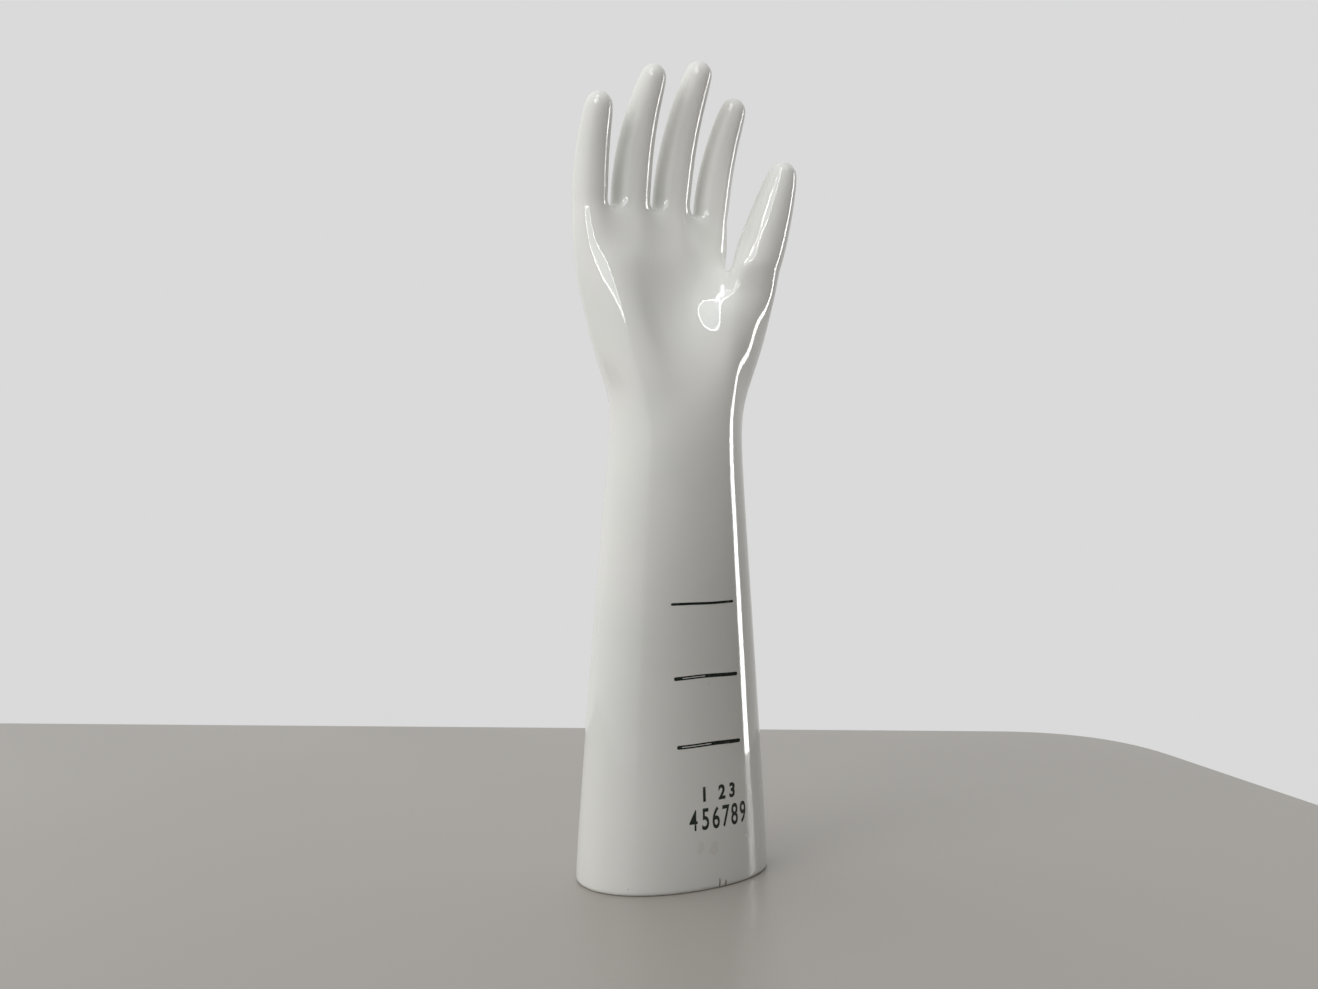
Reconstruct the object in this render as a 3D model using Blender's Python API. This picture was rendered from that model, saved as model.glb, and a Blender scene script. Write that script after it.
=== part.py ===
"""Porcelain right hand on its forearm: a glove former that serves as a stand for rings and bracelets.

The real thing is one slip-cast shell, glazed outside and open at the foot, so it is one object here.
Its skin is a cage of four-sided faces. Solidify gives the cage its wall, Subdivision Surface rounds it,
and Bevel eases the two edges of the flat rim that it stands on.
Metres, +Z up. The palm faces -Y and the thumb is on the +X side.
"""

from dataclasses import dataclass
from math import cos, exp, pi, radians, sin, tau

import bmesh
import bpy
from mathutils import Vector

MM = 0.001


@dataclass(frozen=True)
class Oval:
    """A level cut through the forearm or the palm. The index edge is where the finger columns end."""
    height: float
    centre_x: float
    centre_y: float
    half_width: float
    half_depth: float
    index_edge: float = 0.0


@dataclass(frozen=True, eq=False)
class Digit:
    """A finger or the thumb, from the web at its root to its tip.

    Lean is towards +X and tilt towards the palm side, in degrees at the root and at the tip.
    Turn is about the upright axis.
    """
    root: Vector
    length: float
    root_radius: float
    tip_radius: float
    lean: tuple
    tilt: tuple
    turn: float = 0.0


@dataclass(frozen=True)
class Swelling:
    """A mound on the palm side, or a hollow where its height is negative.

    Its two spreads are across and along its length, which leans towards +X by its lean in degrees.
    """
    x: float
    z: float
    across: float
    along: float
    height: float
    lean: float = 0.0


# Wall of the casting, and the flat rim that it stands on
WALL = 5.0 * MM
RIM_EDGE = 1.6 * MM
FOOT_HALF_WIDTH = 52.4 * MM
FOOT_HALF_DEPTH = 35.0 * MM
FOOT_BAND = 8.0 * MM

# Forearm
WRIST = 226.0 * MM
WRIST_HALF_WIDTH = 35.4 * MM
WRIST_HALF_DEPTH = 25.5 * MM
WRIST_CENTRE_X = 1.5 * MM
FOREARM_BULGE = 0.4 * MM
FOREARM_RINGS = 5
OVAL_POWER = 2.15

# Palm, from the wrist up to the finger webs
PALM = (
    Oval(WRIST + 17 * MM, 2.8 * MM, 1.0 * MM, 38.0 * MM, 23.5 * MM, 27.0 * MM),
    Oval(WRIST + 31 * MM, 2.8 * MM, 3.0 * MM, 43.4 * MM, 21.5 * MM, 25.0 * MM),
    Oval(WRIST + 45 * MM, 2.0 * MM, 5.0 * MM, 46.4 * MM, 19.5 * MM, 24.0 * MM),
    Oval(WRIST + 59 * MM, -2.2 * MM, 6.5 * MM, 45.4 * MM, 18.0 * MM, 24.5 * MM),
    Oval(WRIST + 72 * MM, -6.2 * MM, 7.5 * MM, 44.4 * MM, 17.0 * MM, 26.0 * MM),
    Oval(WRIST + 83 * MM, -8.1 * MM, 8.0 * MM, 44.1 * MM, 16.0 * MM, 27.5 * MM),
    Oval(WRIST + 92 * MM, -7.6 * MM, 8.5 * MM, 45.0 * MM, 15.0 * MM, 34.4 * MM),
    Oval(WRIST + 102 * MM, -7.6 * MM, 9.0 * MM, 45.2 * MM, 14.0 * MM, 34.6 * MM),
)
THUMB_WEB = 5
# How far the levels above the thumb web have gathered into the roots of the fingers
FINGER_SHARE = {6: 0.25, 7: 0.6}
WEB_GATHER = 0.92
# The ball of the thumb, the heel and the edge on the little finger's side, the hollow between them
SWELLINGS = (
    Swelling(21 * MM, WRIST + 45 * MM, 12.5 * MM, 20 * MM, 8.0 * MM),
    Swelling(-34 * MM, WRIST + 46 * MM, 12 * MM, 26 * MM, 4.0 * MM),
    Swelling(-33 * MM, WRIST + 62 * MM, 6.5 * MM, 24 * MM, 4.5 * MM, lean=-14),
    Swelling(-3 * MM, WRIST + 70 * MM, 16 * MM, 17 * MM, -5.0 * MM),
)
# The ball's flank up to the thumb: how far each palm level brings forward its front corners there
FLANK_SIDE = Vector((-0.3, -0.95, 0))
BALL_FLANK = {
    1: (0.5, 1.0, 1.5, 1.5, 0.5, 0.0),
    2: (1.0, 3.5, 5.5, 5.5, 2.5, 0.0),
    3: (5.0, 8.0, 11.0, 7.0, 2.5, 0.0),
    4: (1.5, 4.5, 10.0, 5.0, -1.5, -2.0),
    5: (0.0, 2.0, 6.5, 8.5, 2.0, 0.0),
}

# Digits
LITTLE = Digit(Vector((-44.0 * MM, 7.8 * MM, WRIST + 111 * MM)), length=55.6 * MM,
               root_radius=9.2 * MM, tip_radius=6.8 * MM, lean=(-2.4, -2.0), tilt=(3.0, 33.5))
RING = Digit(Vector((-20.4 * MM, 9.0 * MM, WRIST + 112 * MM)), length=72.8 * MM,
             root_radius=10.6 * MM, tip_radius=6.3 * MM, lean=(-2.3, 4.7), tilt=(2.4, 41.5))
MIDDLE = Digit(Vector((4.0 * MM, 10.0 * MM, WRIST + 113 * MM)), length=77.7 * MM,
               root_radius=10.3 * MM, tip_radius=6.8 * MM, lean=(0.0, 4.8), tilt=(3.9, 39.4))
INDEX = Digit(Vector((27.2 * MM, 8.0 * MM, WRIST + 111 * MM)), length=64.1 * MM,
              root_radius=9.7 * MM, tip_radius=6.5 * MM, lean=(1.0, 4.5), tilt=(3.8, 37.5))
THUMB = Digit(Vector((40.2 * MM, -14.5 * MM, PALM[THUMB_WEB].height)), length=56.4 * MM,
              root_radius=13.0 * MM, tip_radius=6.6 * MM, lean=(10.3, 6.8), tilt=(17.9, 16.6), turn=-65)
FINGERS = (LITTLE, RING, MIDDLE, INDEX)
DIGITS = (*FINGERS, THUMB)
BALL_CORNERS = ((INDEX, "LF"), (INDEX, "F"), (INDEX, "RF"), (THUMB, "LF"), (THUMB, "F"), (THUMB, "RF"))
TAPER_POWER = 1.7

# The thumb's lobe inside the palm: its middle at the wrist, its outward bow, its share of each level
THUMB_HEEL = Vector((27.5 * MM, -1.5 * MM, WRIST + 15 * MM))
THENAR_BOW = 5.5 * MM
THUMB_SHARE = (0.3, 0.5, 0.7, 0.85, 0.95, 1.0)

# Rounding
SUBDIVISIONS = 1
EDGE_SEGMENTS = 2
EDGE_ANGLE = 70.0

# Corners of the ring round a digit, in degrees from +X: left, right, front and back
PLACES = {"L": 180, "LF": 225, "F": 270, "RF": 315, "R": 0, "RB": 45, "B": 90, "LB": 135}
RING_STEP = 45.0
# The thumb's lobe has seven of them, which start closer together at the wrist
LOBE_PLACES = ("LF", "F", "RF", "R", "RB", "B", "LB")
LOBE_STEP = 30.0
# A ring of eight corners rounds to this share of its radius
RING_SHRINK = (4 + 2 * cos(tau / 8)) / 6
# Rings along a digit, as shares of its length short of the rounded end
STATIONS = (0.14, 0.42, 0.72, 1.0)
# The rounded end, in tip radii: a last ring and a tip corner, which together round to half a ball
END_RING_DROP = 0.3
END_RING_RADIUS = 0.8
END_CORNER_RISE = 0.375


def blend(first, second, share):
    return first + (second - first) * share


def level_direction(degrees):
    return Vector((cos(radians(degrees)), sin(radians(degrees)), 0))


def signed_power(value, exponent):
    return (1 if value >= 0 else -1) * abs(value) ** exponent


def oval_point(oval, degrees):
    """A point on the outline of a level, which is a little squarer than an ellipse."""
    direction = level_direction(degrees)
    return Vector((oval.centre_x + oval.half_width * signed_power(direction.x, 2 / OVAL_POWER),
                   oval.centre_y + oval.half_depth * signed_power(direction.y, 2 / OVAL_POWER),
                   oval.height))


def ring_keys(digits):
    """The corners of a ring round a row of digits: left side, front, right side, back."""
    front = [(digit, place) for digit in digits for place in ("LF", "F", "RF")]
    back = [(digit, place) for digit in reversed(digits) for place in ("RB", "B", "LB")]
    return [(digits[0], "L"), *front, (digits[-1], "R"), *back]


def row_point(oval, digit, place):
    """A corner of a palm level, below its own corner on the row of finger roots."""
    def across(finger, side):
        return finger.root.x + finger.root_radius * level_direction(PLACES[side]).x

    left = oval.centre_x - oval.half_width
    right = oval.centre_x + oval.half_width
    last = across(INDEX, "RF")
    spread = (oval.index_edge - left) / (last - across(LITTLE, "L"))
    x = right if (digit, place) == (INDEX, "R") else oval.index_edge - spread * (last - across(digit, place))
    share = min(1.0, abs(x - oval.centre_x) / oval.half_width)
    depth = oval.half_depth * (1 - share ** OVAL_POWER) ** (1 / OVAL_POWER)
    return Vector((x, oval.centre_y + (-depth if place.endswith("F") else depth), oval.height))


def digit_corner(digit, place, centre, radius):
    """A corner of a level ring round a digit."""
    return centre + level_direction(PLACES[place] + digit.turn) * radius / RING_SHRINK


def lobe_corner(height, place):
    """A corner of the thumb's lobe: half round at the wrist, nearly closed and turned at the thumb's root."""
    opening = (height - PALM[0].height) / (THUMB.root.z - PALM[0].height)
    steps = LOBE_PLACES.index(place) - LOBE_PLACES.index("R")
    degrees = THUMB.turn * opening + steps * blend(LOBE_STEP, RING_STEP, opening)
    climb = (height - THUMB_HEEL.z) / (THUMB.root.z - THUMB_HEEL.z)
    centre = THUMB_HEEL.lerp(THUMB.root, climb)
    centre.x += 4 * THENAR_BOW * climb * (1 - climb)
    return centre + level_direction(degrees) * THUMB.root_radius / RING_SHRINK


def swell(point, oval):
    """Raise the mounds and sink the hollow on the palm side."""
    facing = max(0.0, min(1.0, (oval.centre_y - point.y) / oval.half_depth))
    rise = 0.0
    for mound in SWELLINGS:
        lean = radians(mound.lean)
        x, z = point.x - mound.x, point.z - mound.z
        across = (x * cos(lean) - z * sin(lean)) / mound.across
        along = (x * sin(lean) + z * cos(lean)) / mound.along
        rise += mound.height * exp(-(across ** 2 + along ** 2) / 2)
    point.y -= rise * facing
    return point


def forearm_levels():
    """The foot's upright band, then an almost straight taper to the wrist."""
    levels = [Oval(height, 0, 0, FOOT_HALF_WIDTH, FOOT_HALF_DEPTH) for height in (0, FOOT_BAND)]
    for ring in range(1, FOREARM_RINGS + 1):
        share = ring / FOREARM_RINGS
        bulge = FOREARM_BULGE * sin(pi * share)
        levels.append(Oval(blend(FOOT_BAND, WRIST, share), WRIST_CENTRE_X * share - bulge, 0,
                           blend(FOOT_HALF_WIDTH, WRIST_HALF_WIDTH, share) + bulge,
                           blend(FOOT_HALF_DEPTH, WRIST_HALF_DEPTH, share) + bulge))
    return levels


def palm_point(level, digit, place, degrees):
    """A corner of the palm, whose oval gathers into a row of digits as it rises."""
    oval = PALM[level]
    if digit is THUMB:
        point = oval_point(oval, degrees).lerp(lobe_corner(oval.height, place), THUMB_SHARE[level])
    else:
        point = row_point(oval, digit, place)
    if level in FINGER_SHARE:
        centre = Vector((digit.root.x, digit.root.y, oval.height))
        point = point.lerp(digit_corner(digit, place, centre, digit.root_radius), FINGER_SHARE[level])
    if level in BALL_FLANK and (digit, place) in BALL_CORNERS:
        point += FLANK_SIDE * BALL_FLANK[level][BALL_CORNERS.index((digit, place))] * MM
    return swell(point, oval)


def digit_path(digit, distance):
    """Point and direction on a digit's middle line, which bends evenly towards the palm side."""
    def direction(share):
        lean = radians(blend(*digit.lean, share))
        tilt = radians(blend(*digit.tilt, share))
        return Vector((sin(lean) * cos(tilt), -sin(tilt), cos(lean) * cos(tilt)))

    steps = 24
    reach = distance / digit.length
    point = digit.root.copy()
    for step in range(steps):
        point += direction(reach * (step + 0.5) / steps) * distance / steps
    return point, direction(reach)


def digit_radius(digit, distance):
    return blend(digit.root_radius, digit.tip_radius, (distance / digit.length) ** TAPER_POWER)


class Skin:
    """Collects the corners and faces of the cage."""

    def __init__(self):
        self.mesh = bmesh.new()

    def ring(self, keys, corner_of):
        return {key: self.mesh.verts.new(corner_of(*key)) for key in keys}

    def strip(self, lower, upper, keys):
        """Faces between two rings that share their keys."""
        for key, following in zip(keys, keys[1:] + keys[:1]):
            self.mesh.faces.new((lower[key], lower[following], upper[following], upper[key]))

    def web(self, ring, left, right):
        """The saddle between two neighbouring digits, from front to back."""
        near, far = ring[left, "R"], ring[right, "L"]
        self.mesh.faces.new((ring[left, "RF"], ring[right, "LF"], far, near))
        self.mesh.faces.new((near, far, ring[right, "LB"], ring[left, "RB"]))

    def digit(self, digit, root_ring):
        """Rings up a digit from its root, closed by four faces round a tip corner."""
        keys = [(digit, place) for place in PLACES]
        body = digit.length - digit.tip_radius
        stations = [(body * share, 1.0) for share in STATIONS]
        stations.append((digit.length - END_RING_DROP * digit.tip_radius, END_RING_RADIUS))
        lower = root_ring
        for distance, share in stations:
            centre, direction = digit_path(digit, distance)
            square = Vector((0, 0, 1)).rotation_difference(direction)
            radius = digit_radius(digit, distance) * share
            flat = self.ring(keys, lambda _, place: digit_corner(digit, place, Vector(), radius))
            for corner in flat.values():
                corner.co = centre + square @ corner.co
            self.strip(lower, flat, keys)
            lower = flat
        end, direction = digit_path(digit, digit.length)
        tip = self.mesh.verts.new(end + direction * END_CORNER_RISE * digit.tip_radius)
        ring = [lower[key] for key in keys]
        for first, middle, last in zip(ring[0::2], ring[1::2], ring[2::2] + ring[:1]):
            self.mesh.faces.new((first, middle, last, tip))


def build_skin():
    skin = Skin()

    # Forearm and lower palm, whose rings hold the thumb's columns too
    keys = ring_keys(DIGITS)
    degrees = {key: 180 + 360 * index / len(keys) for index, key in enumerate(keys)}
    rings = [skin.ring(keys, lambda *key: oval_point(oval, degrees[key])) for oval in forearm_levels()]
    for level in range(THUMB_WEB + 1):
        rings.append(skin.ring(keys, lambda *key: palm_point(level, *key, degrees[key])))
    for lower, upper in zip(rings, rings[1:]):
        skin.strip(lower, upper, keys)

    # The thumb leaves the palm
    top = rings[-1]
    top.update(skin.ring([(INDEX, "R")], lambda *key: row_point(PALM[THUMB_WEB], *key)))
    top.update(skin.ring([(THUMB, "L")], lambda *key: digit_corner(*key, THUMB.root, THUMB.root_radius)))
    skin.web(top, INDEX, THUMB)
    skin.digit(THUMB, top)

    # Upper palm, then the four fingers
    def root_corner(digit, place):
        return digit_corner(digit, place, digit.root, digit.root_radius * WEB_GATHER)

    keys = ring_keys(FINGERS)
    rings = [top]
    for level in FINGER_SHARE:
        rings.append(skin.ring(keys, lambda *key: palm_point(level, *key, 0)))
    webs = [(digit, "R") for digit in FINGERS[:-1]] + [(digit, "L") for digit in FINGERS[1:]]
    rings.append(skin.ring(keys + webs, root_corner))
    for lower, upper in zip(rings, rings[1:]):
        skin.strip(lower, upper, keys)
    for left, right in zip(FINGERS, FINGERS[1:]):
        skin.web(rings[-1], left, right)
    for digit in FINGERS:
        skin.digit(digit, rings[-1])
    return skin.mesh


def make_glaze():
    """White glazed porcelain."""
    glaze = bpy.data.materials.new("glazed porcelain")
    glaze.use_nodes = True
    shader = glaze.node_tree.nodes["Principled BSDF"]
    shader.inputs["Base Color"].default_value = (0.78, 0.78, 0.74, 1.0)
    shader.inputs["Roughness"].default_value = 0.08
    shader.inputs["Metallic"].default_value = 0.0
    return glaze


def make_hand():
    mesh = bpy.data.meshes.new("hand_form")
    skin = build_skin()
    bmesh.ops.recalc_face_normals(skin, faces=skin.faces)
    skin.to_mesh(mesh)
    skin.free()
    mesh.materials.append(make_glaze())
    mesh.shade_smooth()
    hand = bpy.data.objects.new("hand_form", mesh)
    bpy.context.scene.collection.objects.link(hand)

    wall = hand.modifiers.new("wall", "SOLIDIFY")
    wall.thickness = WALL
    wall.offset = -1
    wall.edge_crease_inner = 1
    wall.edge_crease_outer = 1
    rounding = hand.modifiers.new("rounding", "SUBSURF")
    rounding.levels = SUBDIVISIONS
    rounding.render_levels = SUBDIVISIONS
    edge = hand.modifiers.new("rim edge", "BEVEL")
    edge.width = RIM_EDGE
    edge.segments = EDGE_SEGMENTS
    edge.limit_method = "ANGLE"
    edge.angle_limit = radians(EDGE_ANGLE)
    return hand


def stand_on_origin(piece):
    """Put the middle of a piece's box above the origin and its foot at height zero."""
    bpy.context.view_layer.update()
    solid = piece.evaluated_get(bpy.context.evaluated_depsgraph_get())
    corners = [Vector(corner) for corner in solid.bound_box]
    low = Vector(map(min, *corners))
    high = Vector(map(max, *corners))
    piece.location = (-(low.x + high.x) / 2, -(low.y + high.y) / 2, -low.z)


for item in list(bpy.data.objects):
    bpy.data.objects.remove(item)

stand_on_origin(make_hand())
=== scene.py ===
"""Looks of the porcelain hand: a glazed glove former that serves as a stand for rings and bracelets.

The hand's skin repeats the cage of the part's source at a finer rounding, so that the glaze reflects evenly.
Metres, +Z up. The palm faces -Y and the thumb is on the +X side.
"""

from dataclasses import dataclass
from math import cos, exp, pi, radians, sin, sqrt, tan, tau

import bmesh
import bpy
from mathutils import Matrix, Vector
from mathutils.bvhtree import BVHTree
from mathutils.kdtree import KDTree


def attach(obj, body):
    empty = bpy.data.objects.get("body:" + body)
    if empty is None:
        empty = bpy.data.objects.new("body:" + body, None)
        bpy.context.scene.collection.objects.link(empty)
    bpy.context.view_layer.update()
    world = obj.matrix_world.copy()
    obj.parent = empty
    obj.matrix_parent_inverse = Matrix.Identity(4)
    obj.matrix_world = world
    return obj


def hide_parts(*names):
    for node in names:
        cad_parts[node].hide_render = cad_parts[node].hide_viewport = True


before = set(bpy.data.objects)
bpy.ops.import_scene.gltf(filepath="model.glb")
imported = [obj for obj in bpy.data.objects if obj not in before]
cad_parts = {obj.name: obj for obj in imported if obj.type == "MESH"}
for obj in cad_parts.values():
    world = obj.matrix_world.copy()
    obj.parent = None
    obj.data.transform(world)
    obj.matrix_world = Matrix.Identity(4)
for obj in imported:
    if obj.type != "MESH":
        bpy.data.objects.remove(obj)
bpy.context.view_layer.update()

MM = 0.001


@dataclass(frozen=True)
class Oval:
    """A level cut through the forearm or the palm. The index edge is where the finger columns end."""
    height: float
    centre_x: float
    centre_y: float
    half_width: float
    half_depth: float
    index_edge: float = 0.0


@dataclass(frozen=True, eq=False)
class Digit:
    """A finger or the thumb, from the web at its root to its tip.

    Lean is towards +X and tilt towards the palm side, in degrees at the root and at the tip.
    Turn is about the upright axis.
    """
    root: Vector
    length: float
    root_radius: float
    tip_radius: float
    lean: tuple
    tilt: tuple
    turn: float = 0.0


@dataclass(frozen=True)
class Swelling:
    """A mound on the palm side, or a hollow where its height is negative.

    Its two spreads are across and along its length, which leans towards +X by its lean in degrees.
    """
    x: float
    z: float
    across: float
    along: float
    height: float
    lean: float = 0.0


# Wall of the casting, and the flat rim that it stands on
WALL = 5.0 * MM
RIM_EDGE = 1.6 * MM
FOOT_HALF_WIDTH = 52.4 * MM
FOOT_HALF_DEPTH = 35.0 * MM
FOOT_BAND = 8.0 * MM

# Forearm
WRIST = 226.0 * MM
WRIST_HALF_WIDTH = 35.4 * MM
WRIST_HALF_DEPTH = 25.5 * MM
WRIST_CENTRE_X = 1.5 * MM
FOREARM_BULGE = 0.4 * MM
FOREARM_RINGS = 5
OVAL_POWER = 2.15

# Palm, from the wrist up to the finger webs
PALM = (
    Oval(WRIST + 17 * MM, 2.8 * MM, 1.0 * MM, 38.0 * MM, 23.5 * MM, 27.0 * MM),
    Oval(WRIST + 31 * MM, 2.8 * MM, 3.0 * MM, 43.4 * MM, 21.5 * MM, 25.0 * MM),
    Oval(WRIST + 45 * MM, 2.0 * MM, 5.0 * MM, 46.4 * MM, 19.5 * MM, 24.0 * MM),
    Oval(WRIST + 59 * MM, -2.2 * MM, 6.5 * MM, 45.4 * MM, 18.0 * MM, 24.5 * MM),
    Oval(WRIST + 72 * MM, -6.2 * MM, 7.5 * MM, 44.4 * MM, 17.0 * MM, 26.0 * MM),
    Oval(WRIST + 83 * MM, -8.1 * MM, 8.0 * MM, 44.1 * MM, 16.0 * MM, 27.5 * MM),
    Oval(WRIST + 92 * MM, -7.6 * MM, 8.5 * MM, 45.0 * MM, 15.0 * MM, 34.4 * MM),
    Oval(WRIST + 102 * MM, -7.6 * MM, 9.0 * MM, 45.2 * MM, 14.0 * MM, 34.6 * MM),
)
THUMB_WEB = 5
# How far the levels above the thumb web have gathered into the roots of the fingers
FINGER_SHARE = {6: 0.25, 7: 0.6}
WEB_GATHER = 0.92
# The ball of the thumb, the heel and the edge on the little finger's side, the hollow between them
SWELLINGS = (
    Swelling(21 * MM, WRIST + 45 * MM, 12.5 * MM, 20 * MM, 8.0 * MM),
    Swelling(-34 * MM, WRIST + 46 * MM, 12 * MM, 26 * MM, 4.0 * MM),
    Swelling(-33 * MM, WRIST + 62 * MM, 6.5 * MM, 24 * MM, 4.5 * MM, lean=-14),
    Swelling(-3 * MM, WRIST + 70 * MM, 16 * MM, 17 * MM, -5.0 * MM),
)
# The ball's flank up to the thumb: how far each palm level brings forward its front corners there
FLANK_SIDE = Vector((-0.3, -0.95, 0))
BALL_FLANK = {
    1: (0.5, 1.0, 1.5, 1.5, 0.5, 0.0),
    2: (1.0, 3.5, 5.5, 5.5, 2.5, 0.0),
    3: (5.0, 8.0, 11.0, 7.0, 2.5, 0.0),
    4: (1.5, 4.5, 10.0, 5.0, -1.5, -2.0),
    5: (0.0, 2.0, 6.5, 8.5, 2.0, 0.0),
}

# Digits
LITTLE = Digit(Vector((-44.0 * MM, 7.8 * MM, WRIST + 111 * MM)), length=55.6 * MM,
               root_radius=9.2 * MM, tip_radius=6.8 * MM, lean=(-2.4, -2.0), tilt=(3.0, 33.5))
RING = Digit(Vector((-20.4 * MM, 9.0 * MM, WRIST + 112 * MM)), length=72.8 * MM,
             root_radius=10.6 * MM, tip_radius=6.3 * MM, lean=(-2.3, 4.7), tilt=(2.4, 41.5))
MIDDLE = Digit(Vector((4.0 * MM, 10.0 * MM, WRIST + 113 * MM)), length=77.7 * MM,
               root_radius=10.3 * MM, tip_radius=6.8 * MM, lean=(0.0, 4.8), tilt=(3.9, 39.4))
INDEX = Digit(Vector((27.2 * MM, 8.0 * MM, WRIST + 111 * MM)), length=64.1 * MM,
              root_radius=9.7 * MM, tip_radius=6.5 * MM, lean=(1.0, 4.5), tilt=(3.8, 37.5))
THUMB = Digit(Vector((40.2 * MM, -14.5 * MM, PALM[THUMB_WEB].height)), length=56.4 * MM,
              root_radius=13.0 * MM, tip_radius=6.6 * MM, lean=(10.3, 6.8), tilt=(17.9, 16.6), turn=-65)
FINGERS = (LITTLE, RING, MIDDLE, INDEX)
DIGITS = (*FINGERS, THUMB)
BALL_CORNERS = ((INDEX, "LF"), (INDEX, "F"), (INDEX, "RF"), (THUMB, "LF"), (THUMB, "F"), (THUMB, "RF"))
TAPER_POWER = 1.7

# The thumb's lobe inside the palm: its middle at the wrist, its outward bow, its share of each level
THUMB_HEEL = Vector((27.5 * MM, -1.5 * MM, WRIST + 15 * MM))
THENAR_BOW = 5.5 * MM
THUMB_SHARE = (0.3, 0.5, 0.7, 0.85, 0.95, 1.0)

# An edge sharper than this, in degrees, belongs to the rim of the foot
EDGE_ANGLE = 70.0

# Corners of the ring round a digit, in degrees from +X: left, right, front and back
PLACES = {"L": 180, "LF": 225, "F": 270, "RF": 315, "R": 0, "RB": 45, "B": 90, "LB": 135}
RING_STEP = 45.0
# The thumb's lobe has seven of them, which start closer together at the wrist
LOBE_PLACES = ("LF", "F", "RF", "R", "RB", "B", "LB")
LOBE_STEP = 30.0
# A ring of eight corners rounds to this share of its radius
RING_SHRINK = (4 + 2 * cos(tau / 8)) / 6
# Rings along a digit, as shares of its length short of the rounded end
STATIONS = (0.14, 0.42, 0.72, 1.0)
# The rounded end, in tip radii: a last ring and a tip corner, which together round to half a ball
END_RING_DROP = 0.3
END_RING_RADIUS = 0.8
END_CORNER_RISE = 0.375


def blend(first, second, share):
    return first + (second - first) * share


def level_direction(degrees):
    return Vector((cos(radians(degrees)), sin(radians(degrees)), 0))


def signed_power(value, exponent):
    return (1 if value >= 0 else -1) * abs(value) ** exponent


def oval_point(oval, degrees):
    """A point on the outline of a level, which is a little squarer than an ellipse."""
    direction = level_direction(degrees)
    return Vector((oval.centre_x + oval.half_width * signed_power(direction.x, 2 / OVAL_POWER),
                   oval.centre_y + oval.half_depth * signed_power(direction.y, 2 / OVAL_POWER),
                   oval.height))


def ring_keys(digits):
    """The corners of a ring round a row of digits: left side, front, right side, back."""
    front = [(digit, place) for digit in digits for place in ("LF", "F", "RF")]
    back = [(digit, place) for digit in reversed(digits) for place in ("RB", "B", "LB")]
    return [(digits[0], "L"), *front, (digits[-1], "R"), *back]


def row_point(oval, digit, place):
    """A corner of a palm level, below its own corner on the row of finger roots."""
    def across(finger, side):
        return finger.root.x + finger.root_radius * level_direction(PLACES[side]).x

    left = oval.centre_x - oval.half_width
    right = oval.centre_x + oval.half_width
    last = across(INDEX, "RF")
    spread = (oval.index_edge - left) / (last - across(LITTLE, "L"))
    x = right if (digit, place) == (INDEX, "R") else oval.index_edge - spread * (last - across(digit, place))
    share = min(1.0, abs(x - oval.centre_x) / oval.half_width)
    depth = oval.half_depth * (1 - share ** OVAL_POWER) ** (1 / OVAL_POWER)
    return Vector((x, oval.centre_y + (-depth if place.endswith("F") else depth), oval.height))


def digit_corner(digit, place, centre, radius):
    """A corner of a level ring round a digit."""
    return centre + level_direction(PLACES[place] + digit.turn) * radius / RING_SHRINK


def lobe_corner(height, place):
    """A corner of the thumb's lobe: half round at the wrist, nearly closed and turned at the thumb's root."""
    opening = (height - PALM[0].height) / (THUMB.root.z - PALM[0].height)
    steps = LOBE_PLACES.index(place) - LOBE_PLACES.index("R")
    degrees = THUMB.turn * opening + steps * blend(LOBE_STEP, RING_STEP, opening)
    climb = (height - THUMB_HEEL.z) / (THUMB.root.z - THUMB_HEEL.z)
    centre = THUMB_HEEL.lerp(THUMB.root, climb)
    centre.x += 4 * THENAR_BOW * climb * (1 - climb)
    return centre + level_direction(degrees) * THUMB.root_radius / RING_SHRINK


def swell(point, oval):
    """Raise the mounds and sink the hollow on the palm side."""
    facing = max(0.0, min(1.0, (oval.centre_y - point.y) / oval.half_depth))
    rise = 0.0
    for mound in SWELLINGS:
        lean = radians(mound.lean)
        x, z = point.x - mound.x, point.z - mound.z
        across = (x * cos(lean) - z * sin(lean)) / mound.across
        along = (x * sin(lean) + z * cos(lean)) / mound.along
        rise += mound.height * exp(-(across ** 2 + along ** 2) / 2)
    point.y -= rise * facing
    return point


def forearm_levels():
    """The foot's upright band, then an almost straight taper to the wrist."""
    levels = [Oval(height, 0, 0, FOOT_HALF_WIDTH, FOOT_HALF_DEPTH) for height in (0, FOOT_BAND)]
    for ring in range(1, FOREARM_RINGS + 1):
        share = ring / FOREARM_RINGS
        bulge = FOREARM_BULGE * sin(pi * share)
        levels.append(Oval(blend(FOOT_BAND, WRIST, share), WRIST_CENTRE_X * share - bulge, 0,
                           blend(FOOT_HALF_WIDTH, WRIST_HALF_WIDTH, share) + bulge,
                           blend(FOOT_HALF_DEPTH, WRIST_HALF_DEPTH, share) + bulge))
    return levels


def palm_point(level, digit, place, degrees):
    """A corner of the palm, whose oval gathers into a row of digits as it rises."""
    oval = PALM[level]
    if digit is THUMB:
        point = oval_point(oval, degrees).lerp(lobe_corner(oval.height, place), THUMB_SHARE[level])
    else:
        point = row_point(oval, digit, place)
    if level in FINGER_SHARE:
        centre = Vector((digit.root.x, digit.root.y, oval.height))
        point = point.lerp(digit_corner(digit, place, centre, digit.root_radius), FINGER_SHARE[level])
    if level in BALL_FLANK and (digit, place) in BALL_CORNERS:
        point += FLANK_SIDE * BALL_FLANK[level][BALL_CORNERS.index((digit, place))] * MM
    return swell(point, oval)


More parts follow.
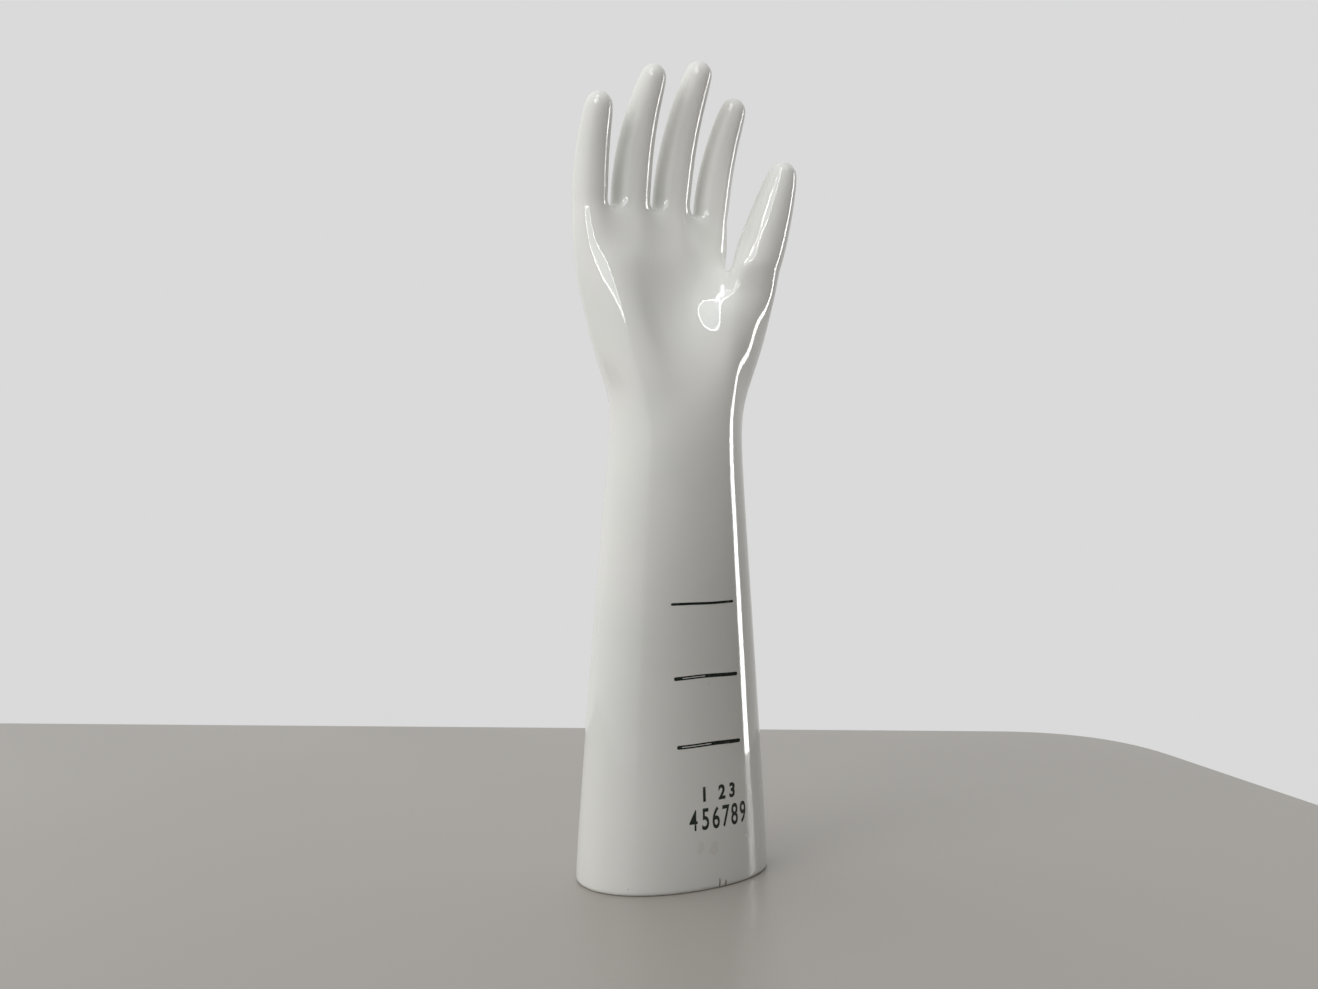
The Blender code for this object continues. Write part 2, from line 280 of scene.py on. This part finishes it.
def digit_path(digit, distance):
    """Point and direction on a digit's middle line, which bends evenly towards the palm side."""
    def direction(share):
        lean = radians(blend(*digit.lean, share))
        tilt = radians(blend(*digit.tilt, share))
        return Vector((sin(lean) * cos(tilt), -sin(tilt), cos(lean) * cos(tilt)))

    steps = 24
    reach = distance / digit.length
    point = digit.root.copy()
    for step in range(steps):
        point += direction(reach * (step + 0.5) / steps) * distance / steps
    return point, direction(reach)


def digit_radius(digit, distance):
    return blend(digit.root_radius, digit.tip_radius, (distance / digit.length) ** TAPER_POWER)


class Skin:
    """Collects the corners and faces of the cage."""

    def __init__(self):
        self.mesh = bmesh.new()

    def ring(self, keys, corner_of):
        return {key: self.mesh.verts.new(corner_of(*key)) for key in keys}

    def strip(self, lower, upper, keys):
        """Faces between two rings that share their keys."""
        for key, following in zip(keys, keys[1:] + keys[:1]):
            self.mesh.faces.new((lower[key], lower[following], upper[following], upper[key]))

    def web(self, ring, left, right):
        """The saddle between two neighbouring digits, from front to back."""
        near, far = ring[left, "R"], ring[right, "L"]
        self.mesh.faces.new((ring[left, "RF"], ring[right, "LF"], far, near))
        self.mesh.faces.new((near, far, ring[right, "LB"], ring[left, "RB"]))

    def digit(self, digit, root_ring):
        """Rings up a digit from its root, closed by four faces round a tip corner."""
        keys = [(digit, place) for place in PLACES]
        body = digit.length - digit.tip_radius
        stations = [(body * share, 1.0) for share in STATIONS]
        stations.append((digit.length - END_RING_DROP * digit.tip_radius, END_RING_RADIUS))
        lower = root_ring
        for distance, share in stations:
            centre, direction = digit_path(digit, distance)
            square = Vector((0, 0, 1)).rotation_difference(direction)
            radius = digit_radius(digit, distance) * share
            flat = self.ring(keys, lambda _, place: digit_corner(digit, place, Vector(), radius))
            for corner in flat.values():
                corner.co = centre + square @ corner.co
            self.strip(lower, flat, keys)
            lower = flat
        end, direction = digit_path(digit, digit.length)
        tip = self.mesh.verts.new(end + direction * END_CORNER_RISE * digit.tip_radius)
        ring = [lower[key] for key in keys]
        for first, middle, last in zip(ring[0::2], ring[1::2], ring[2::2] + ring[:1]):
            self.mesh.faces.new((first, middle, last, tip))


def build_skin():
    skin = Skin()

    # Forearm and lower palm, whose rings hold the thumb's columns too
    keys = ring_keys(DIGITS)
    degrees = {key: 180 + 360 * index / len(keys) for index, key in enumerate(keys)}
    rings = [skin.ring(keys, lambda *key: oval_point(oval, degrees[key])) for oval in forearm_levels()]
    for level in range(THUMB_WEB + 1):
        rings.append(skin.ring(keys, lambda *key: palm_point(level, *key, degrees[key])))
    for lower, upper in zip(rings, rings[1:]):
        skin.strip(lower, upper, keys)

    # The thumb leaves the palm
    top = rings[-1]
    top.update(skin.ring([(INDEX, "R")], lambda *key: row_point(PALM[THUMB_WEB], *key)))
    top.update(skin.ring([(THUMB, "L")], lambda *key: digit_corner(*key, THUMB.root, THUMB.root_radius)))
    skin.web(top, INDEX, THUMB)
    skin.digit(THUMB, top)

    # Upper palm, then the four fingers
    def root_corner(digit, place):
        return digit_corner(digit, place, digit.root, digit.root_radius * WEB_GATHER)

    keys = ring_keys(FINGERS)
    rings = [top]
    for level in FINGER_SHARE:
        rings.append(skin.ring(keys, lambda *key: palm_point(level, *key, 0)))
    webs = [(digit, "R") for digit in FINGERS[:-1]] + [(digit, "L") for digit in FINGERS[1:]]
    rings.append(skin.ring(keys + webs, root_corner))
    for lower, upper in zip(rings, rings[1:]):
        skin.strip(lower, upper, keys)
    for left, right in zip(FINGERS, FINGERS[1:]):
        skin.web(rings[-1], left, right)
    for digit in FINGERS:
        skin.digit(digit, rings[-1])
    return skin.mesh


# The shader's own small language


class Value:
    """A number, colour or vector that varies over a surface. Python's operators on a number add Math nodes."""

    def __init__(self, shader, socket):
        self.shader = shader
        self.socket = socket

    def math(self, operation, *others):
        return self.shader.add("ShaderNodeMath", {"operation": operation}, dict(enumerate((self, *others))))

    def __add__(self, other):
        return self.math("ADD", other)

    def __sub__(self, other):
        return self.math("SUBTRACT", other)

    def __mul__(self, other):
        return self.math("MULTIPLY", other)

    def __truediv__(self, other):
        return self.math("DIVIDE", other)

    __radd__ = __add__
    __rmul__ = __mul__

    def __rsub__(self, other):
        return self.shader.add("ShaderNodeMath", {"operation": "SUBTRACT"}, {0: other, 1: self})

    def within(self, low, high):
        """Rises smoothly from 0 at low to 1 at high."""
        settings = {"interpolation_type": "SMOOTHSTEP"}
        inputs = {"Value": self, "From Min": low, "From Max": high, "To Min": 0.0, "To Max": 1.0}
        return self.shader.add("ShaderNodeMapRange", settings, inputs)


class Shader:
    """A node tree in which every node comes from one method."""

    def __init__(self, tree):
        self.tree = tree

    def add(self, kind, settings=None, inputs=None, output=0):
        node = self.tree.nodes.new(kind)
        for name, value in (settings or {}).items():
            setattr(node, name, value)
        for name, value in (inputs or {}).items():
            self.feed(node.inputs[name], value)
        return Value(self, node.outputs[output])

    def feed(self, socket, value):
        if isinstance(value, Value):
            self.tree.links.new(value.socket, socket)
        else:
            socket.default_value = value

    def place(self):
        return self.add("ShaderNodeTexCoord", output="Object")

    def vector(self, operation, first, second, output=0):
        return self.add("ShaderNodeVectorMath", {"operation": operation}, {0: first, 1: second}, output)

    def along(self, vector, direction):
        """How far a vector reaches in a direction."""
        return self.vector("DOT_PRODUCT", vector, direction, output="Value")

    def noise(self, size, detail=2.0, stretch=(1, 1, 1)):
        """Cloudy values around a half, with blotches of about the given size."""
        scaled = self.vector("MULTIPLY", self.place(), stretch)
        return self.add("ShaderNodeTexNoise", None, {"Vector": scaled, "Scale": 1 / size, "Detail": detail})

    def mix(self, share, first, second):
        """A colour between two colours, by the sockets that the Mix node keeps for colours."""
        return self.add("ShaderNodeMix", {"data_type": "RGBA"}, {0: share, 6: first, 7: second}, output=2)

    def bump(self, height, distance, strength=1.0):
        return self.add("ShaderNodeBump", None, {"Strength": strength, "Distance": distance, "Height": height})

    def blotch(self, x, height, wide, tall, ragged=0.5):
        """A ragged spot of a given size on the palm side of the forearm."""
        away = self.vector("SUBTRACT", self.place(), (x, 0, height))
        reach = self.vector("MULTIPLY", away, (2 / wide, 0, 2 / tall))
        radius = self.add("ShaderNodeVectorMath", {"operation": "LENGTH"}, {0: reach}, output="Value")
        uneven = radius + (self.noise(min(wide, tall), 3.0) - 0.5) * 2 * ragged
        palm_side = self.along(self.place(), (0, -1, 0)).within(0.0, 5 * MM)
        return (1 - uneven.within(0.75, 1.1)) * palm_side


def make_finish(name, uniform, varying):
    """A material whose uniform numbers are set straight on the shader, with what varies fed by name."""
    material = bpy.data.materials.new(name)
    material.use_nodes = True
    shader = Shader(material.node_tree)
    surface = material.node_tree.nodes["Principled BSDF"]
    for socket, value in uniform.items():
        surface.inputs[socket].default_value = value
    for socket, value in varying(shader).items():
        shader.feed(surface.inputs[socket], value)
    return material


# Finishes

GLAZE_WHITE = (0.80, 0.80, 0.775, 1.0)
GLAZE_POOLED = (0.76, 0.77, 0.745, 1.0)
GLAZE_SPECK = (0.25, 0.23, 0.19, 1.0)
# Painted highlight: the nick's glint, painted whiter than the glaze
NICK_PAINTED_GLINT = (0.93, 0.93, 0.92, 1.0)
CHIP_EARTH = (0.20, 0.13, 0.10, 1.0)
OLD_STAMP = (0.62, 0.50, 0.47, 1.0)
BARE_WHITE = (0.72, 0.69, 0.63, 1.0)
BARE_DUSTY = (0.56, 0.52, 0.46, 1.0)
INK_DARK = (0.012, 0.022, 0.017, 1.0)
INK_THIN = (0.075, 0.088, 0.078, 1.0)

# The glaze's patterns, from the widest: thin and pooled glaze, the casting's ripple, pits, the finest grain
CLOUD_SIZE = 60 * MM
RIPPLE_SIZE = 24 * MM
PIT_SPACING = 19 * MM
GRAIN_SIZE = 2.2 * MM
GLAZE_RELIEF = 0.12 * MM
GLAZE_ROUGHNESS = 0.035
GRAIN_ROUGHNESS = 0.03
WORN_ROUGHNESS = 0.3

# Marks of use on the foot's palm side: x, height above the floor, width and height of each
# The nick is a real dent, and its spot is also painted whiter as its glint, a painted highlight
NICK_DENT_AND_GLINT = (22.9 * MM, 22.4 * MM, 1.2 * MM, 3.2 * MM)
RIM_CHIPS = ((5.0 * MM, 2.4 * MM, 0.9 * MM, 4.6 * MM), (8.7 * MM, 1.8 * MM, 1.1 * MM, 3.4 * MM))
STAMP_GHOSTS = ((-6.0 * MM, 20.5 * MM, 4.0 * MM, 6.0 * MM), (2.0 * MM, 19.5 * MM, 5.5 * MM, 6.5 * MM))


def glaze_look(shader):
    cloud = shader.noise(CLOUD_SIZE, 3.0)
    fine = shader.noise(GRAIN_SIZE, 2.0)
    ripple = shader.noise(RIPPLE_SIZE, 1.0)
    pits = shader.add("ShaderNodeTexVoronoi", None, {"Vector": shader.place(), "Scale": 1 / PIT_SPACING})
    speck = 1 - pits.within(0.012, 0.022)
    nick_and_glint = shader.blotch(*NICK_DENT_AND_GLINT)
    chips = sum(shader.blotch(*chip) for chip in RIM_CHIPS)
    ghosts = sum(shader.blotch(*ghost, ragged=1.4) for ghost in STAMP_GHOSTS)
    colour = shader.mix(cloud.within(0.35, 0.72), GLAZE_WHITE, GLAZE_POOLED)
    colour = shader.mix(speck * 0.5, colour, GLAZE_SPECK)
    colour = shader.mix(ghosts * 0.22, colour, OLD_STAMP)
    # The nick is sunk and roughened as a real dent, and painted whiter as a painted highlight of its glint
    colour = shader.mix(nick_and_glint, colour, NICK_PAINTED_GLINT)
    colour = shader.mix(chips * 0.85, colour, CHIP_EARTH)
    relief = ripple * 0.15 + fine * 0.012 - speck * 0.05 - nick_and_glint * 3.0 - chips * 2.0
    roughness = GLAZE_ROUGHNESS + GRAIN_ROUGHNESS * fine + (speck + nick_and_glint + chips) * WORN_ROUGHNESS
    return {"Base Color": colour, "Roughness": roughness, "Normal": shader.bump(relief, GLAZE_RELIEF)}


def bare_look(shader):
    cloud = shader.noise(14 * MM, 4.0)
    grain = shader.noise(0.7 * MM, 2.0)
    return {"Base Color": shader.mix(cloud.within(0.4, 0.7), BARE_WHITE, BARE_DUSTY),
            "Roughness": 0.62 + 0.2 * grain, "Normal": shader.bump(grain, 0.15 * MM, 0.6)}


def ink_look(shader):
    streak = shader.noise(1.1 * MM, 3.0, (0.12, 0.12, 1))
    mottle = shader.noise(1.5 * MM, 3.0)
    thin = (streak * 0.6 + mottle * 0.4).within(0.52, 0.72)
    return {"Base Color": shader.mix(thin, INK_DARK, INK_THIN), "Roughness": 0.07 + 0.1 * thin}


glaze = make_finish("white_glaze", {"IOR": 1.52}, glaze_look)
bare_clay = make_finish("bare_porcelain", {"IOR": 1.45}, bare_look)
ink = make_finish("dark_green_ink", {"IOR": 1.5}, ink_look)


# The hand

FINE_SUBDIVISIONS = 3
# A point below this height lies on the floor
FOOT_LEVEL = 0.001 * MM


def ease_rim(mesh):
    """Rounds the two square edges of the rim. Points beside an edge move onto the round, evenly spaced."""
    skin = bmesh.new()
    skin.from_mesh(mesh)
    edges = [edge for edge in skin.edges if edge.calc_face_angle(0) > radians(EDGE_ANGLE)
             and max(vertex.co.z for vertex in edge.verts) < FOOT_LEVEL]
    corners = list({vertex: None for edge in edges for vertex in edge.verts})
    inward = []
    for corner in corners:
        flat = next(vertex for vertex in (edge.other_vert(corner) for edge in corner.link_edges)
                    if vertex not in corners and vertex.co.z < FOOT_LEVEL)
        inward.append((flat.co - corner.co).normalized())
    tree = KDTree(len(corners))
    for index, corner in enumerate(corners):
        tree.insert(corner.co, index)
    tree.balance()
    moved = {}
    for vertex in skin.verts:
        if vertex.co.z < RIM_EDGE:
            _, index, across = tree.find(Vector((vertex.co.x, vertex.co.y, 0)))
            on_flat = vertex.co.z < FOOT_LEVEL
            reach = across if on_flat else -vertex.co.z
            if reach < RIM_EDGE:
                turn = pi / 4 * (reach / RIM_EDGE + 1)
                foot = corners[index].co.copy() if on_flat else Vector((vertex.co.x, vertex.co.y, 0))
                lift = Vector((0, 0, RIM_EDGE * (1 - sin(turn))))
                moved[vertex] = foot + inward[index] * RIM_EDGE * (1 - cos(turn)) + lift
    for vertex, place in moved.items():
        vertex.co = place
    skin.to_mesh(mesh)
    skin.free()


def make_hand():
    mesh = bpy.data.meshes.new("hand")
    skin = build_skin()
    bmesh.ops.recalc_face_normals(skin, faces=skin.faces)
    skin.to_mesh(mesh)
    skin.free()
    for finish in (glaze, bare_clay):
        mesh.materials.append(finish)
    mesh.shade_smooth()
    hand = bpy.data.objects.new("hand", mesh)
    bpy.context.scene.collection.objects.link(hand)

    wall = hand.modifiers.new("wall", "SOLIDIFY")
    wall.thickness = WALL
    wall.offset = -1
    wall.edge_crease_inner = 1
    wall.edge_crease_outer = 1
    wall.material_offset = 1
    wall.material_offset_rim = 1
    rounding = hand.modifiers.new("rounding", "SUBSURF")
    rounding.levels = FINE_SUBDIVISIONS
    rounding.render_levels = FINE_SUBDIVISIONS
    bpy.context.view_layer.update()
    graph = bpy.context.evaluated_depsgraph_get()
    solid = bpy.data.meshes.new_from_object(hand.evaluated_get(graph))
    hand.modifiers.clear()
    hand.data = solid
    bpy.data.meshes.remove(mesh)
    solid.name = "hand"
    ease_rim(solid)
    return hand


def settle(piece):
    """Put a piece made in the cage's own frame where the CAD node stands."""
    points = [vertex.co for vertex in piece.data.vertices]
    middle = Vector((min(p.x for p in points) + max(p.x for p in points),
                     min(p.y for p in points) + max(p.y for p in points), 0)) / 2
    for point in points:
        point -= middle


hand = make_hand()
settle(hand)
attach(hand, "root")
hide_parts("hand_form")


# Printed marks: thin pieces laid just above the glaze

PRINT_LIFT = 0.05 * MM
LINE_COLUMNS = 60
LINE_ROWS = 5
# A line narrows over this length at its ends, and wavers a little along its way
LINE_END = 0.7 * MM
LINE_END_SHARE = 0.35
LINE_WAVER = 0.06 * MM


@dataclass(frozen=True)
class CuffLine:
    """A printed line round the front of the forearm. Its middle is scraped bare from one share to another."""
    height: float
    first: float
    last: float
    thickness: float
    sag: float
    scraped: tuple = (0.0, 0.0)


CUFF_LINES = (
    CuffLine(139.3 * MM, -18.5 * MM, 17.6 * MM, 1.25 * MM, 0.0),
    CuffLine(103.2 * MM, -17.9 * MM, 19.2 * MM, 1.8 * MM, 0.6 * MM, (0.1, 0.45)),
    CuffLine(70.1 * MM, -17.2 * MM, 20.1 * MM, 1.9 * MM, 0.5 * MM, (0.06, 0.5)),
)


class Forearm:
    """The front of the glazed forearm, measured along its curve from where x is zero."""

    def __init__(self, piece):
        bpy.context.view_layer.update()
        self.tree = BVHTree.FromObject(piece, bpy.context.evaluated_depsgraph_get())

    def front(self, x, height):
        place, outward, _, _ = self.tree.ray_cast(Vector((x, -1, height)), Vector((0, 1, 0)))
        return place + outward * PRINT_LIFT

    def along(self, first, height, distance, steps=6):
        """The x that lies a distance round the curve from a first x."""
        x = first
        for _ in range(steps):
            slope = (self.front(x + MM, height) - self.front(x - MM, height)).length / (2 * MM)
            x += distance / steps / slope
        return x


forearm = Forearm(hand)


def add_print(skin, name):
    mesh = bpy.data.meshes.new(name)
    skin.to_mesh(mesh)
    skin.free()
    mesh.materials.append(ink)
    mesh.shade_smooth()
    piece = bpy.data.objects.new(name, mesh)
    bpy.context.scene.collection.objects.link(piece)
    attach(piece, "root")
    return piece


def make_cuff_line(line, name):
    mesh = bmesh.new()
    grid = []
    for column in range(LINE_COLUMNS + 1):
        share = column / LINE_COLUMNS
        end = min(share, 1 - share) * (line.last - line.first)
        half = line.thickness / 2 * sqrt(min(1.0, LINE_END_SHARE + end / LINE_END))
        waver = LINE_WAVER * sin(9 * share + 40 * line.height)
        middle = line.height + line.sag * sin(pi * share) + waver
        x = blend(line.first, line.last, share)
        grid.append([mesh.verts.new(forearm.front(x, middle + blend(-half, half, row / LINE_ROWS)))
                     for row in range(LINE_ROWS + 1)])
    for column, (left, right) in enumerate(zip(grid, grid[1:])):
        share = column / LINE_COLUMNS
        for row in range(LINE_ROWS):
            scraped = row == LINE_ROWS // 2 and line.scraped[0] < share < line.scraped[1]
            if not scraped:
                mesh.faces.new((left[row], right[row], right[row + 1], left[row + 1]))
    return add_print(mesh, name)


# Blender's own figures stand this high at size 1
FIGURE_HEIGHT = 0.73
LONGEST_INK_EDGE = 2 * MM


def make_figure(figure, x, row):
    """One plain figure, from Blender's own lettering, made narrow and laid on the glaze."""
    name = f"{row.name}_{figure}"
    curve = bpy.data.curves.new(name, "FONT")
    curve.body = figure
    curve.offset = row.weight
    curve.resolution_u = 6
    shape = bpy.data.objects.new(name, curve)
    bpy.context.scene.collection.objects.link(shape)
    bpy.context.view_layer.update()
    flat = bmesh.new()
    graph = bpy.context.evaluated_depsgraph_get()
    flat.from_mesh(bpy.data.meshes.new_from_object(shape.evaluated_get(graph)))
    bpy.data.objects.remove(shape)
    low = Vector(min(vertex.co[axis] for vertex in flat.verts) for axis in range(3))
    high = Vector(max(vertex.co[axis] for vertex in flat.verts) for axis in range(3))
    scale = row.tall / FIGURE_HEIGHT
    for vertex in flat.verts:
        vertex.co = (vertex.co - (low + high) / 2) * scale
        vertex.co.x *= row.narrow
    for _ in range(3):
        long_edges = [edge for edge in flat.edges if edge.calc_length() > LONGEST_INK_EDGE]
        bmesh.ops.subdivide_edges(flat, edges=long_edges, cuts=1)
        bmesh.ops.triangulate(flat, faces=flat.faces)
    for vertex in flat.verts:
        across = forearm.along(x, row.middle, vertex.co.x)
        vertex.co = forearm.front(across, row.middle + vertex.co.y)
    return add_print(flat, name)


@dataclass(frozen=True)
class FigureRow:
    """Counting figures printed side by side: where each stands, and how tall, narrow and bold they are."""
    name: str
    middle: float
    tall: float
    narrow: float
    weight: float
    figures: tuple


# The 4 is less bold than its neighbours, so that its corner stays open
LARGE_ROW = {"name": "large_figure", "middle": 34.5 * MM, "tall": 10.6 * MM, "narrow": 0.66}
FIGURE_ROWS = (
    FigureRow(name="small_figure", middle=46.5 * MM, tall=6.9 * MM, narrow=0.9, weight=0.04,
              figures=(("1", -3.2 * MM), ("2", 7.2 * MM), ("3", 13.7 * MM))),
    FigureRow(**LARGE_ROW, weight=0.002, figures=(("4", -9.5 * MM),)),
    FigureRow(**LARGE_ROW, weight=0.016,
              figures=(("5", -2.8 * MM), ("6", 3.4 * MM), ("7", 9.5 * MM), ("8", 15.0 * MM), ("9", 20.8 * MM))),
)

for index, line in enumerate(CUFF_LINES):
    make_cuff_line(line, f"cuff_line_{index + 1}")
for row in FIGURE_ROWS:
    for figure, x in row.figures:
        make_figure(figure, x, row)


# Camera, as the photograph's: level, 615 mm from the foot's middle, 30 degrees round from the palm's front

CAMERA_PLACE = Vector((-314.88, -528.12, 192.7)) * MM
CAMERA_TURN = -30.0
PHOTO_WIDTH = 1318
FOCAL_PIXELS = 1200

camera_data = bpy.data.cameras.new("camera")
camera_data.sensor_fit = "HORIZONTAL"
camera_data.lens = camera_data.sensor_width * FOCAL_PIXELS / PHOTO_WIDTH
camera_data.clip_start = 10 * MM
camera = bpy.data.objects.new("camera", camera_data)
camera.location = CAMERA_PLACE
camera.rotation_euler = (radians(90), 0, radians(CAMERA_TURN))
bpy.context.scene.collection.objects.link(camera)
bpy.context.scene.camera = camera
bpy.context.scene.view_settings.view_transform = "Standard"

# Directions as the camera sees them, level with the floor
TO_RIGHT = level_direction(CAMERA_TURN)
TO_BACK = level_direction(CAMERA_TURN + 90)


# Floor: a plain pale tabletop, whose corners are given as the camera sees them, to the right and to the back

TABLE_CORNERS = ((-1.2, 0.427), (0.354, 0.363), (0.54, -0.5), (-1.2, -0.5))
TABLE_THICKNESS = 28 * MM
CORNER_TANGENT = 90 * MM
CORNER_STEPS = 14
TABLE_EDGE_ROUND = 5 * MM
TABLE_EDGE_SEGMENTS = 4
TABLE_EDGE_ANGLE = 60
TABLE_TONE = (0.39, 0.365, 0.34, 1.0)
TABLE_ROUGHNESS = 0.30
TABLE_CLOUD_SIZE = 0.25


def table_look(shader):
    cloud = shader.noise(TABLE_CLOUD_SIZE, 3.0)
    return {"Roughness": TABLE_ROUGHNESS + 0.08 * cloud}


def make_table():
    corners = [TO_RIGHT * right + TO_BACK * back for right, back in TABLE_CORNERS]
    outline = []
    for index, corner in enumerate(corners):
        first = corner + (corners[index - 1] - corner).normalized() * CORNER_TANGENT
        last = corner + (corners[(index + 1) % len(corners)] - corner).normalized() * CORNER_TANGENT
        for step in range(CORNER_STEPS + 1):
            share = step / CORNER_STEPS
            outline.append(first.lerp(corner, share).lerp(corner.lerp(last, share), share))
    skin = bmesh.new()
    top = skin.faces.new([skin.verts.new(point) for point in outline])
    drawn = bmesh.ops.extrude_face_region(skin, geom=[top])["geom"]
    below = [item for item in drawn if isinstance(item, bmesh.types.BMVert)]
    bmesh.ops.translate(skin, verts=below, vec=(0, 0, -TABLE_THICKNESS))
    bmesh.ops.recalc_face_normals(skin, faces=skin.faces)
    mesh = bpy.data.meshes.new("tabletop")
    skin.to_mesh(mesh)
    skin.free()
    mesh.materials.append(make_finish("pale_lacquer", {"Base Color": TABLE_TONE}, table_look))
    table = bpy.data.objects.new("tabletop", mesh)
    bpy.context.scene.collection.objects.link(table)
    edge = table.modifiers.new("edge", "BEVEL")
    edge.width = TABLE_EDGE_ROUND
    edge.segments = TABLE_EDGE_SEGMENTS
    edge.limit_method = "ANGLE"
    edge.angle_limit = radians(TABLE_EDGE_ANGLE)


# Light: a tall bordered window in front on the left, a pane beside it and a narrow window on the right

ROOM_CENTRE = Vector((0, 0, 0.3))
WINDOW_AWAY = 1.5
# Cycles gives an area light of one watt a radiance of a quarter over its area
WATTS = 4.0


@dataclass(frozen=True)
class Window:
    """A bright upright rectangle, seen in reflections alone, by its directions from the room's centre in degrees.

    Azimuth is 0 towards the camera and grows to the camera's right, elevation grows from the horizon up.
    """
    name: str
    left: float
    right: float
    low: float
    high: float
    radiance: float
    colour: tuple = (1, 1, 1)


COOL = (0.86, 0.97, 1.0)
FRONT_LEFT, FRONT_RIGHT, FRONT_LOW, FRONT_HIGH = -28, -8, 9, 70
# Its bright border, whose parts are this many degrees thick
SILL = 1
BORDER = 1.4
LINTEL = 1.5
BORDER_RADIANCE = 14.0
WINDOWS = (
    Window("front_window", FRONT_LEFT, FRONT_RIGHT, FRONT_LOW + SILL, FRONT_HIGH, 1.8, COOL),
    Window("front_window_left_border", FRONT_LEFT - BORDER, FRONT_LEFT, FRONT_LOW, FRONT_HIGH,
           BORDER_RADIANCE),
    Window("front_window_right_border", FRONT_RIGHT, FRONT_RIGHT + BORDER, FRONT_LOW, FRONT_HIGH,
           BORDER_RADIANCE),
    Window("front_window_sill", FRONT_LEFT, FRONT_RIGHT, FRONT_LOW, FRONT_LOW + SILL, BORDER_RADIANCE),
    Window("front_window_lintel", FRONT_LEFT - BORDER, FRONT_RIGHT + BORDER, FRONT_HIGH, FRONT_HIGH + LINTEL,
           BORDER_RADIANCE),
    Window("left_pane", -35, -31, 16, 24, 16.0),
    Window("right_window", 102, 111, -25, 22, 10.0),
)


# Two lamps light the hand but aren't mirrored in its glaze: a large soft key, and a weak beam for palm and fingers
PALM_MIDDLE = Vector((-0.010, 0, 0.330))
KEY_AZIMUTH, KEY_ELEVATION = -48, 30
KEY_AWAY = 2.0
KEY_SIZE = 1.0
KEY_WATTS = 8.8
BEAM_AZIMUTH, BEAM_ELEVATION = 28, 20
BEAM_AWAY = 0.9
BEAM_ANGLE = 23
BEAM_WATTS = 7.5
BEAM_RADIUS = 0.05


def place_lamp(light, azimuth, elevation, away):
    level = TO_RIGHT * sin(radians(azimuth)) - TO_BACK * cos(radians(azimuth))
    aim = level * cos(radians(elevation)) + Vector((0, 0, sin(radians(elevation))))
    lamp = bpy.data.objects.new(light.name, light)
    lamp.location = PALM_MIDDLE + aim * away
    lamp.rotation_euler = aim.to_track_quat("Z", "Y").to_euler()
    lamp.visible_camera = False
    lamp.visible_glossy = False
    bpy.context.scene.collection.objects.link(lamp)


def make_soft_lamps():
    key = bpy.data.lights.new("key_softbox", "AREA")
    key.size = KEY_SIZE
    key.energy = KEY_WATTS
    place_lamp(key, KEY_AZIMUTH, KEY_ELEVATION, KEY_AWAY)
    beam = bpy.data.lights.new("palm_beam", "SPOT")
    beam.spot_size = radians(BEAM_ANGLE)
    beam.spot_blend = 1.0
    beam.shadow_soft_size = BEAM_RADIUS
    beam.energy = BEAM_WATTS
    place_lamp(beam, BEAM_AZIMUTH, BEAM_ELEVATION, BEAM_AWAY)


def make_window(window):
    across = (window.left + window.right) / 2
    aim = TO_RIGHT * sin(radians(across)) - TO_BACK * cos(radians(across))
    low, high = (WINDOW_AWAY * tan(radians(angle)) for angle in (window.low, window.high))
    light = bpy.data.lights.new(window.name, "AREA")
    light.shape = "RECTANGLE"
    light.size = 2 * WINDOW_AWAY * tan(radians(window.right - window.left) / 2)
    light.size_y = high - low
    light.energy = window.radiance * light.size * light.size_y * WATTS
    light.color = window.colour
    lamp = bpy.data.objects.new(window.name, light)
    lamp.location = ROOM_CENTRE + aim * WINDOW_AWAY + Vector((0, 0, (low + high) / 2))
    lamp.rotation_euler = aim.to_track_quat("Z", "Y").to_euler()
    lamp.visible_camera = False
    lamp.visible_diffuse = False
    bpy.context.scene.collection.objects.link(lamp)


# The room's light by azimuth: bright on the camera's left, pale behind, dim on its right, with a pale ceiling.
# Each pair says where a change starts and ends.
ROOM_BRIGHT = (0.97, 0.97, 0.95, 1.0)
ROOM_PALE = (0.70, 0.70, 0.69, 1.0)
ROOM_DIM = (0.085, 0.072, 0.064, 1.0)
CEILING = (0.80, 0.81, 0.80, 1.0)
BRIGHT_FROM, BRIGHT_TO = (-165, -120), (-40, -8)
DIM_FROM, DIM_TO = (-14, -4), (98, 118)
# The ceiling takes over as a direction's height grows from one share to the other
CEILING_RISE = (0.5, 0.9)
# The plain background that the camera alone sees
BACKDROP = (0.70, 0.70, 0.70, 1.0)


def make_room():
    world = bpy.data.worlds.new("room")
    world.use_nodes = True
    bpy.context.scene.world = world
    shader = Shader(world.node_tree)
    direction = shader.add("ShaderNodeTexCoord", output="Generated")
    right = shader.along(direction, TO_RIGHT)
    front = shader.along(direction, -TO_BACK)
    azimuth = right.math("ARCTAN2", front) * (180 / pi)
    bright = azimuth.within(*BRIGHT_FROM) * (1 - azimuth.within(*BRIGHT_TO))
    dim = azimuth.within(*DIM_FROM) * (1 - azimuth.within(*DIM_TO))
    above = shader.along(direction, (0, 0, 1)).within(*CEILING_RISE)
    walls = shader.mix(dim, shader.mix(bright, ROOM_PALE, ROOM_BRIGHT), ROOM_DIM)
    room = shader.mix(above, walls, CEILING)
    seen = shader.add("ShaderNodeLightPath", output="Is Camera Ray")
    background = world.node_tree.nodes["Background"]
    shader.feed(background.inputs["Color"], shader.mix(seen, room, BACKDROP))


make_table()
make_room()
for window in WINDOWS:
    make_window(window)
make_soft_lamps()
